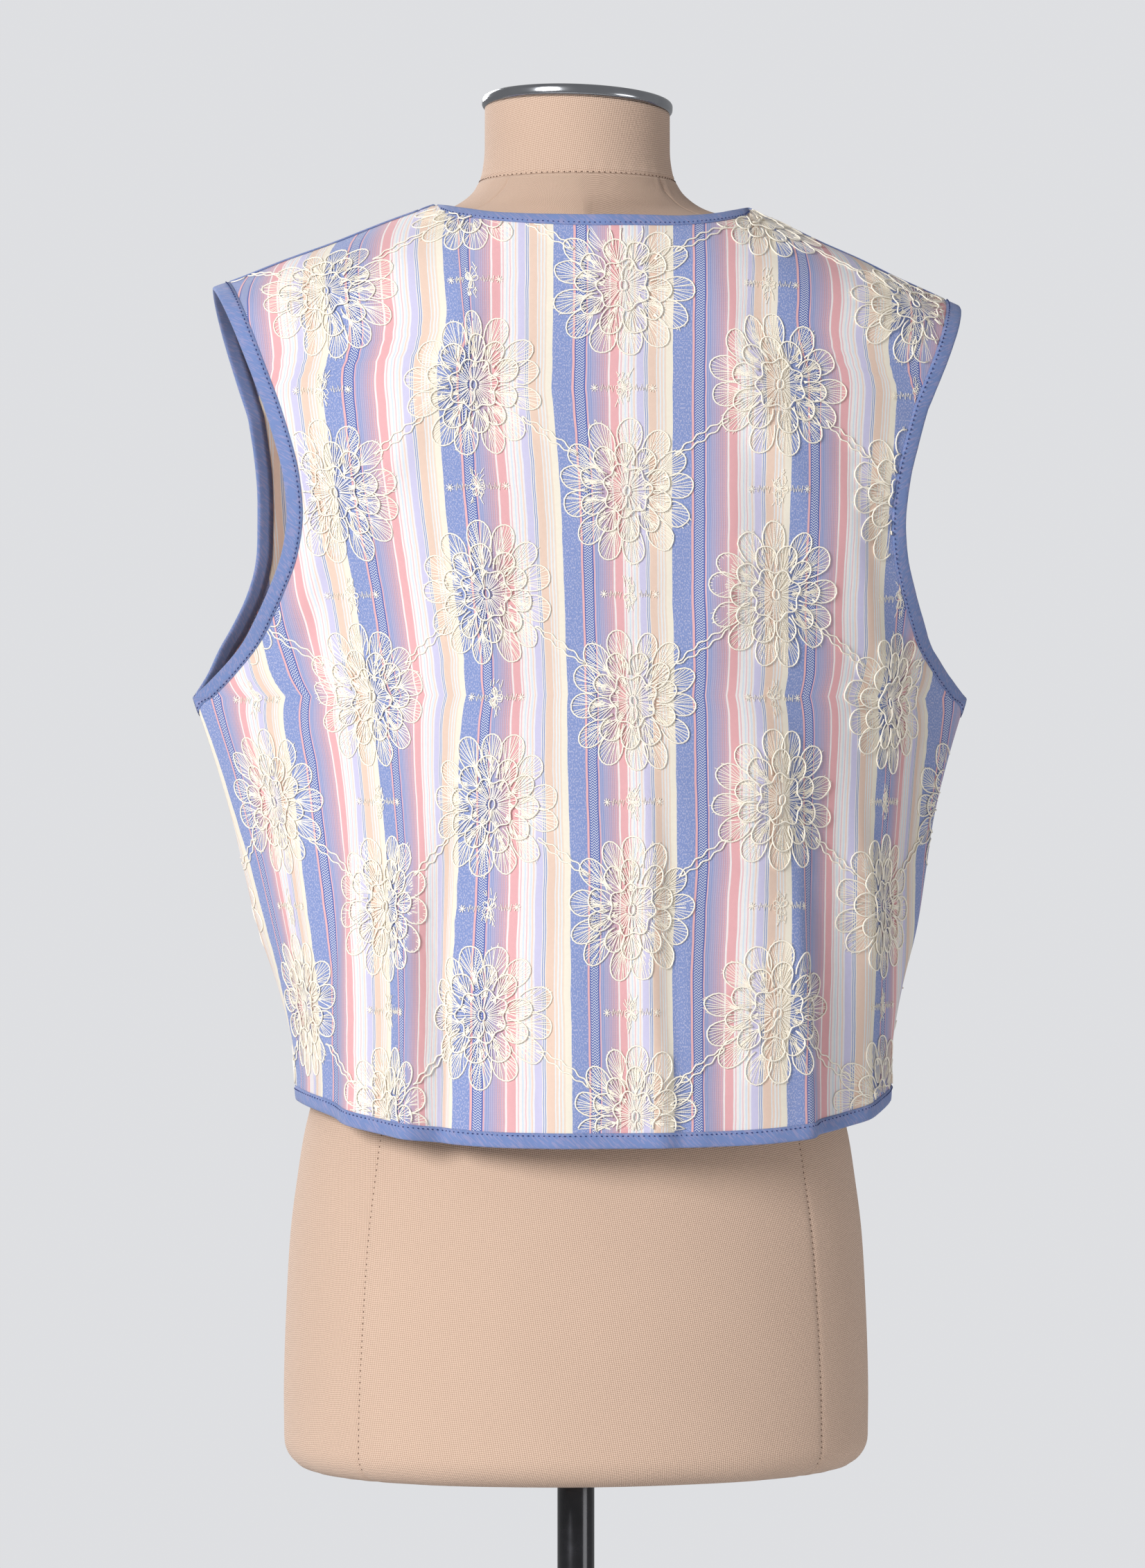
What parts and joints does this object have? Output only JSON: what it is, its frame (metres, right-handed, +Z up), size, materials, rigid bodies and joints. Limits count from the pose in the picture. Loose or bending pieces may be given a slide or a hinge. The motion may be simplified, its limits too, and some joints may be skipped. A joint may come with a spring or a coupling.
{
  "type": "gilet on a dress form",
  "caption": "Sleeveless cropped cotton gilet with a bound edge all round, open at the front, on a limbless dress form with a pole and round base.",
  "frame": {"origin": "centre of the base plate's underside", "axes": "+Z up along the pole; the gilet's front faces -Y and the wearer's left side is +X"},
  "size_m": [0.4638, 0.34, 1.061],
  "materials": {
    "striped_cotton": "matte cotton with woven stripes and cord embroidery",
    "chambray_tape": "matte blue chambray cut on the bias",
    "linen_canvas": "matte natural canvas stretched over the form",
    "chrome_plate": "polished",
    "black_metal": "glossy black"
  },
  "bodies": {
    "root": {"back_panel": "striped_cotton", "front_panel_left": "striped_cotton", "front_panel_right": "striped_cotton", "hem_binding": "chambray_tape", "armhole_binding_left": "chambray_tape", "armhole_binding_right": "chambray_tape", "neck_binding": "chambray_tape", "front_edge_binding_left": "chambray_tape", "front_edge_binding_right": "chambray_tape", "shoulder_tape_left": "chambray_tape", "shoulder_tape_right": "chambray_tape", "form_body": "linen_canvas", "form_neck": "linen_canvas", "neck_plate": "chrome_plate", "stand_base": "black_metal", "stand_pole": "black_metal"}
  },
  "joints": []
}
